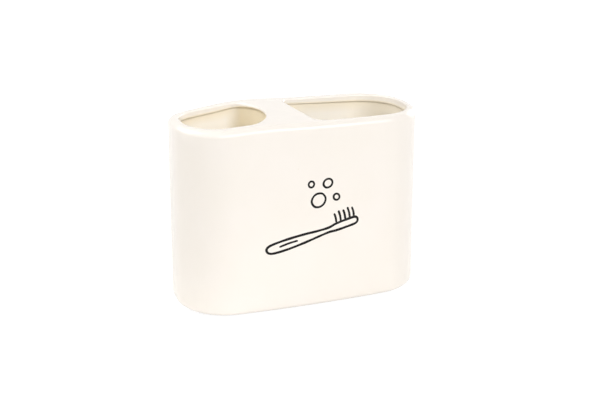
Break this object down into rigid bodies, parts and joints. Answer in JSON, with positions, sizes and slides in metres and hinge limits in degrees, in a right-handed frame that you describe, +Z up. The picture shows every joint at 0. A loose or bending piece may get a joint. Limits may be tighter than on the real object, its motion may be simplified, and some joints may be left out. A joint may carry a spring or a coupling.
{
  "type": "toothbrush holder",
  "caption": "Free-standing glazed ceramic toothbrush holder: rounded oblong body, pierced top with a small mouth and a large mouth either side of a bridge, wells parted by a curved wall.",
  "frame": {"origin": "on the table under the middle of the base", "axes": "+X along the long side towards the large well, -Y out of the front, +Z up"},
  "size_m": [0.1304, 0.063, 0.097],
  "materials": {
    "ivory_glaze": "glossy ivory glaze over white earthenware",
    "silicone_pad": "matt translucent silicone"
  },
  "bodies": {
    "root": {"body_shell": "ivory_glaze", "top_deck": "ivory_glaze", "divider_wall": "ivory_glaze", "foot_pad_front_left": "silicone_pad", "foot_pad_back_left": "silicone_pad", "foot_pad_front_right": "silicone_pad", "foot_pad_back_right": "silicone_pad"}
  },
  "joints": []
}
